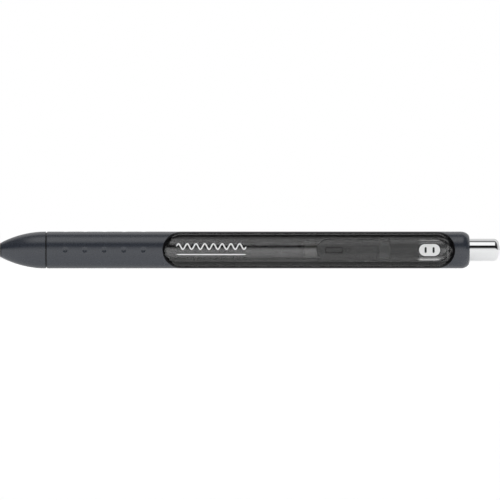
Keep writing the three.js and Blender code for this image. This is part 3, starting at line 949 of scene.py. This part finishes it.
hard_plastic = Finish("satin_moulding", IOR=1.5)
nose_flow = hard_plastic.noise(1.5, detail=3)
nose_shades = ((0.010, 0.010, 0.012), (0.014, 0.014, 0.016))
hard_plastic.feed("Base Color", hard_plastic.colour(nose_flow, *nose_shades))
hard_plastic.feed("Roughness", hard_plastic.noise(0.5, detail=3) * 0.1 + 0.32)
hard_plastic.relief(hard_plastic.noise(0.1), 0.003, 0.4)

core = turned(
    "nose",
    [
        (0, NOSE_TIP_R, 0.14),
        (NOSE_LIP, nose_radius(NOSE_LIP), 0.05),
        *[(along, under_skin(along) - 0.03) for along in spread(NOSE_LIP, NOSE_LENGTH, 12)],
        (NOSE_LENGTH + 0.03, under_skin(NOSE_LENGTH) - 0.03),
        (NOSE_LENGTH + 0.03, COLLAR_R, 0.05),
        (SLEEVE_FRONT - 0.06, COLLAR_R, 0.05),
        (SLEEVE_FRONT - 0.06, under_skin(NOSE_LENGTH) - 0.03),
        (SLEEVE_FRONT, under_skin(NOSE_LENGTH) - 0.03),
        (SLEEVE_FRONT, SPIGOT_R),
        (SPIGOT_END, SPIGOT_R, 0.15),
        (SPIGOT_END, SPIGOT_BORE_R),
        (SPRING_SEAT, SPIGOT_BORE_R),
        (SPRING_SEAT, 2.35),
        (5, 2.35),
        (3, NOSE_BORE_R),
        (0, NOSE_BORE_R, 0.1),
    ],
)
coat(core, hard_plastic)
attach(core, "nose")
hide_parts("nose_core")

thread_turns = (THREAD_END - THREAD_START) / THREAD_PITCH
thread_path = []
for share in spread(0, 1, 110):
    # the thread's start faces away from the clip, as the CAD nose has it
    turn = math.pi - 2 * math.pi * thread_turns * share
    thread_path.append(at(THREAD_START + (THREAD_END - THREAD_START) * share, THREAD_HELIX_R, turn))
nose_thread = swept("nose_thread", thread_path, THREAD_RIDGE_R)
coat(nose_thread, hard_plastic)
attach(nose_thread, "nose")

skin_front = NOSE_LIP + 0.1
skin = turned(
    "nose_skin",
    [
        (skin_front, nose_radius(skin_front), 0.06),
        *[(along, nose_radius(along)) for along in spread(skin_front, NOSE_LENGTH, 28)[1:-1]],
        (NOSE_LENGTH, BODY_R, SLEEVE_EASE),
        *[(along, under_skin(along)) for along in reversed(spread(skin_front, NOSE_LENGTH, 12))],
    ],
    sides=128,
)
coat(skin, rubber)
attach(skin, "nose")
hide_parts("nose_sleeve")

# ---------------------------------------------------------------- return spring
# Cold-wound steel wire, 0.4 mm thick, with its end coils closed up. It stands between the nose and
# the nib holder's collar.

SPRING_WIRE_R = 0.2
SPRING_COIL_R = 2.73
SPRING_TURNS = 7
SPRING_CLOSED_ENDS = 0.7
spring_front = SPRING_SEAT + SPRING_WIRE_R + 0.05
spring_rear = 18.5 - SPRING_WIRE_R - 0.05

spring_path = []
for share in spread(0, 1, SPRING_TURNS * 28):
    even = share - SPRING_CLOSED_ENDS * math.sin(2 * math.pi * share) / (2 * math.pi)
    along = spring_front + (spring_rear - spring_front) * even
    spring_path.append(at(along, SPRING_COIL_R, math.pi - 2 * math.pi * SPRING_TURNS * share))
spring = swept("spring", spring_path, SPRING_WIRE_R)
wire = Finish("spring_wire", Metallic=1.0)
wire.feed("Base Color", wire.colour(wire.noise(0.5), (0.42, 0.43, 0.45), (0.55, 0.56, 0.58)))
wire.feed("Roughness", wire.noise(0.1, detail=3) * 0.15 + 0.2)
coat(spring, wire)
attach(spring, "spring")
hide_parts("return_spring")
at(spring_front, 0, 0)
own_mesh(spring)

# ---------------------------------------------------------------- clip
# The clip is a springy smoke moulding. Its long arm is held by a foot at the rear that slopes down
# round the arm's end, and a small pad under the arm's tip presses on whatever it is clipped to.

CLIP_TIP = 91.7
CLIP_END = 129.4
CLIP_HALF = 3.25
CLIP_TOP = 7.2
CLIP_THICK = 1.2
CLIP_EDGE = 0.42
FOOT_FRONT = 121.0
FOOT_SLOPE = 1.5
FOOT_FLARE = 0.13
FOOT_GAP = 0.03


def surface_height(along, across):
    """The pad's distance from the axis plane, towards the clip, at this height across the pen."""
    half = window_half(along, LIP_WIDTH)
    return pad_out(along, min(abs(across), half))


def clip_section(along, foot):
    """One closed loop of (across, towards the clip) points round the clip, from its top's middle."""
    round_front = CLIP_TIP + CLIP_HALF
    round_rear = CLIP_END - CLIP_HALF
    top_half = CLIP_HALF
    base_half = CLIP_HALF
    top = CLIP_TOP
    if along < round_front:
        top_half = math.sqrt(max(0.0, CLIP_HALF**2 - (round_front - along) ** 2))
        base_half = top_half
    if along > round_rear:
        past = along - round_rear
        top_half = math.sqrt(max(0.0, CLIP_HALF**2 - past**2))
        slope_length = CLIP_HALF + FOOT_SLOPE
        base_half = (CLIP_HALF + FOOT_FLARE) * math.sqrt(max(0.0, 1 - (past / slope_length) ** 2))
        if past > CLIP_HALF:
            base = surface_height(along, 0) + FOOT_GAP
            top = CLIP_TOP - (CLIP_TOP - base) * (past - CLIP_HALF) / FOOT_SLOPE
    elif foot:
        base_half += FOOT_FLARE * (along - FOOT_FRONT) / (round_rear - FOOT_FRONT)
    edge = min(CLIP_EDGE, top_half)
    half_loop = [(share * (top_half - edge), top) for share in spread(0, 1, 6)]
    for bend in spread(0, 90, 5)[1:]:
        across = top_half - edge * (1 - math.sin(math.radians(bend)))
        half_loop.append((across, top - 0.55 * edge * (1 - math.cos(math.radians(bend)))))
    side_top = half_loop[-1][1]
    if foot:
        side_low = min(surface_height(along, base_half) + FOOT_GAP, side_top)
        for share in spread(0, 1, 6)[1:]:
            across = top_half + (base_half - top_half) * share
            half_loop.append((across, side_top + (side_low - side_top) * share))
        for share in spread(1, 0, 8)[1:]:
            across = base_half * share
            half_loop.append((across, min(surface_height(along, across) + FOOT_GAP, top)))
    else:
        under = CLIP_TOP - CLIP_THICK
        for share in spread(0, 1, 6)[1:]:
            half_loop.append((top_half, side_top + (under - side_top) * share))
        for share in spread(1, 0, 8)[1:]:
            half_loop.append((top_half * share, under))
    other_half = [(-across, out) for across, out in reversed(half_loop[1:-1])]
    return half_loop + other_half


def clip_arm():
    vertices = []
    rows = []
    bends = spread(0, 90, 18)
    tip = [CLIP_TIP + CLIP_HALF * (1 - math.cos(math.radians(b))) for b in bends]
    arm = spread(tip[-1], FOOT_FRONT, 30)[1:]
    foot = spread(FOOT_FRONT, CLIP_END - CLIP_HALF, 10)
    rear = [CLIP_END - CLIP_HALF + CLIP_HALF * math.sin(math.radians(b)) for b in bends][1:]
    slope = [CLIP_END + FOOT_SLOPE * share for share in spread(0, 1, 10)][1:]
    places = [(along, False) for along in tip + arm]
    places += [(along, True) for along in foot + rear + slope]
    for along, is_foot in places:
        row = []
        for across, out in clip_section(along, is_foot):
            row.append(len(vertices))
            vertices.append(Vector((tip_x + along * MM, -out * MM, axis_z + across * MM)))
        rows.append(row)
    faces = quads(rows, closed_rows=True) + [tuple(rows[0]), tuple(rows[-1])]
    return shaped("clip", vertices, faces, sharp=35)


def along_and_up(finish):
    """Where a point is, in mm: its distance from the nose tip, and up from the axis."""
    parts = finish.add("ShaderNodeSeparateXYZ", (), {0: finish.place()})
    along = (finish.out(parts, "X") - tip_x) / MM
    up = (finish.out(parts, "Z") - axis_z) / MM
    return along, up


def outline(along, up, centre, half_length, half_width, corner, line):
    """1 on a line along the edge of a bar with rounded corners, 0 away from it."""
    past_end = ((along - centre).size() - (half_length - corner)).math("MAXIMUM", 0.0)
    past_side = (up.size() - (half_width - corner)).math("MAXIMUM", 0.0)
    off_edge = (past_end * past_end + past_side * past_side).root() - corner
    return (LINE_FULL - off_edge.size() / line).clamped()


# the arm is tinted darker than the foot: the foot's lighter tint is painted highlight for the bright glints
# round the clip's root and badge, and the dark lines round the pressing pad and the gate are painted shade
LINE_FULL = 1.7
CLIP_TINT = 0.35
FOOT_PAINTED_GLINT_TINT = 0.86
PRESS_PAD_CENTRE = 96.8
GATE_CENTRE = 100.75
GATE_R = 0.68
# where the foot's painted highlight begins, and over how long it fades in
FOOT_PAINTED_GLINT_START = FOOT_FRONT + 0.2
FOOT_PAINTED_GLINT_FADE = 0.5
# how much the painted shade lines round the pressing pad and the gate mark darken the tint
PAD_PAINTED_SHADE = 0.95
GATE_PAINTED_SHADE = 0.7
clip_smoke_and_painted_light = smoked("clip_smoke_and_painted_light")
along, up = along_and_up(clip_smoke_and_painted_light)
# painted shade: dark lines where the pressing pad's edge and the gate mark's rim show through the arm
pad_painted_shade_line = outline(along, up, PRESS_PAD_CENTRE, 2.45, 0.72, 0.35, 0.17)
gate_painted_shade_ring = outline(along, up, GATE_CENTRE, GATE_R, GATE_R, GATE_R, 0.12)
# painted highlight: the tint rises towards the foot to stand in for the bright glints round the clip's root
foot_painted_glint = ((along - FOOT_PAINTED_GLINT_START) / FOOT_PAINTED_GLINT_FADE).clamped()
tint_with_painted_light = CLIP_TINT + (FOOT_PAINTED_GLINT_TINT - CLIP_TINT) * foot_painted_glint
tint_with_painted_light = tint_with_painted_light * (1 - PAD_PAINTED_SHADE * pad_painted_shade_line) * (1 - GATE_PAINTED_SHADE * gate_painted_shade_ring)
clip_smoke_and_painted_light.feed("Base Color", clip_smoke_and_painted_light.colour(tint_with_painted_light, (0, 0, 0), (1, 1, 1)))
clip = clip_arm()
coat(clip, clip_smoke_and_painted_light)
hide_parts("clip_arm")
FLEX_START = 121.5
FLEX_END = 106.0
at(FLEX_START, CLIP_TOP, 0)
at(FLEX_END, CLIP_TOP, 0)
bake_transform(clip)


def stadium(centre, half_length, half_width, steps=14):
    """The outline of a bar with round ends, as (along, across) points."""
    points = []
    for end, first in ((1, -90), (-1, 90)):
        for bend in spread(first, first + 180, steps):
            turn = math.radians(bend)
            along = centre + end * (half_length - half_width) + half_width * math.cos(turn)
            points.append((along, half_width * math.sin(turn)))
    return points


def plate(name, centre, half_length, half_width, low, high, ease):
    """A bar with round ends from low to high off the axis, eased at high; ease < 0 builds it inward."""
    vertices = []
    rows = []
    levels = [(low, 0.0), (high - ease, 0.0)]
    for bend in map(math.radians, (30, 60, 90)):
        levels.append((high - ease + ease * math.sin(bend), abs(ease) * (1 - math.cos(bend))))
    for out, inset in levels:
        edge = stadium(centre, half_length - inset, half_width - inset)
        rows.append(list(range(len(vertices), len(vertices) + len(edge))))
        vertices += [Vector((tip_x + a * MM, -out * MM, axis_z + z * MM)) for a, z in edge]
    faces = quads(rows, closed_rows=True) + [tuple(rows[0]), tuple(rows[-1])]
    return shaped(name, vertices, faces)


press_pad = plate("clip_press_pad", PRESS_PAD_CENTRE, 2.6, 0.885, CLIP_TOP - CLIP_THICK - 0.01, 5.42, -0.25)
coat(press_pad, clip_smoke_and_painted_light)
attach(press_pad, "clip")

# ---------------------------------------------------------------- badge
# A white moulded inlay, snapped into the clip's root; a thin dark plate round it is painted shade for the
# shadow gap.
# Two plain dark bars are printed on its face.

BADGE_CENTRE = 124.35
BADGE_HALF_LENGTH = 3.05
BADGE_HALF_WIDTH = 1.74
BADGE_LOW = CLIP_TOP + 0.01
BADGE_HIGH = CLIP_TOP + 0.1
SHADOW_GAP = 0.18
SLOT_SPACING = 1.15
SLOT_HALF_LENGTH = 0.85
SLOT_HALF_WIDTH = 0.3
SLOT_RELIEF = 0.006

badge_finish = Finish("white_inlay", IOR=1.5)
inlay_cloud = badge_finish.noise(1)
badge_finish.feed("Base Color", badge_finish.colour(inlay_cloud, (0.86, 0.86, 0.86), (0.93, 0.93, 0.93)))
badge_finish.feed("Roughness", badge_finish.noise(0.5) * 0.08 + 0.3)
badge_finish.relief(badge_finish.noise(0.1), 0.002, 0.4)
badge = plate("badge", BADGE_CENTRE, BADGE_HALF_LENGTH, BADGE_HALF_WIDTH, BADGE_LOW, BADGE_HIGH, 0.05)
coat(badge, badge_finish)
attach(badge, "barrel")
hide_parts("clip_badge")

# one dark finish for two things: painted shade on the plate round the badge, and the printed bars on its
# face
shade_and_print_finish = Finish("painted_shade_and_print", Roughness=0.6)
shade_and_print_grain = shade_and_print_finish.noise(0.5)
shade_and_print_finish.feed("Base Color", shade_and_print_finish.colour(shade_and_print_grain, (0.008, 0.008, 0.009), (0.014, 0.014, 0.016)))
# painted shade: a thin dark plate round the badge stands in for the shadow of the gap it sits in
badge_shade_plate = plate(
    "badge_painted_shade",
    BADGE_CENTRE,
    BADGE_HALF_LENGTH + SHADOW_GAP,
    BADGE_HALF_WIDTH + SHADOW_GAP,
    CLIP_TOP + 0.002,
    CLIP_TOP + 0.008,
    0.002,
)
coat(badge_shade_plate, shade_and_print_finish)
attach(badge_shade_plate, "barrel")

for number, side in enumerate((-1, 1)):
    slot_vertices = []
    slot_rows = []
    for out in (BADGE_HIGH, BADGE_HIGH + SLOT_RELIEF):
        edge = stadium(0, SLOT_HALF_LENGTH, SLOT_HALF_WIDTH)
        slot_rows.append(list(range(len(slot_vertices), len(slot_vertices) + len(edge))))
        for a, z in edge:
            along = BADGE_CENTRE + side * SLOT_SPACING + z
            slot_vertices.append(Vector((tip_x + along * MM, -out * MM, axis_z + a * MM)))
    slot_faces = quads(slot_rows, closed_rows=True) + [tuple(slot_rows[0]), tuple(slot_rows[-1])]
    mark = shaped(f"badge_mark_{number}", slot_vertices, slot_faces)
    coat(mark, shade_and_print_finish)
    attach(mark, "barrel")
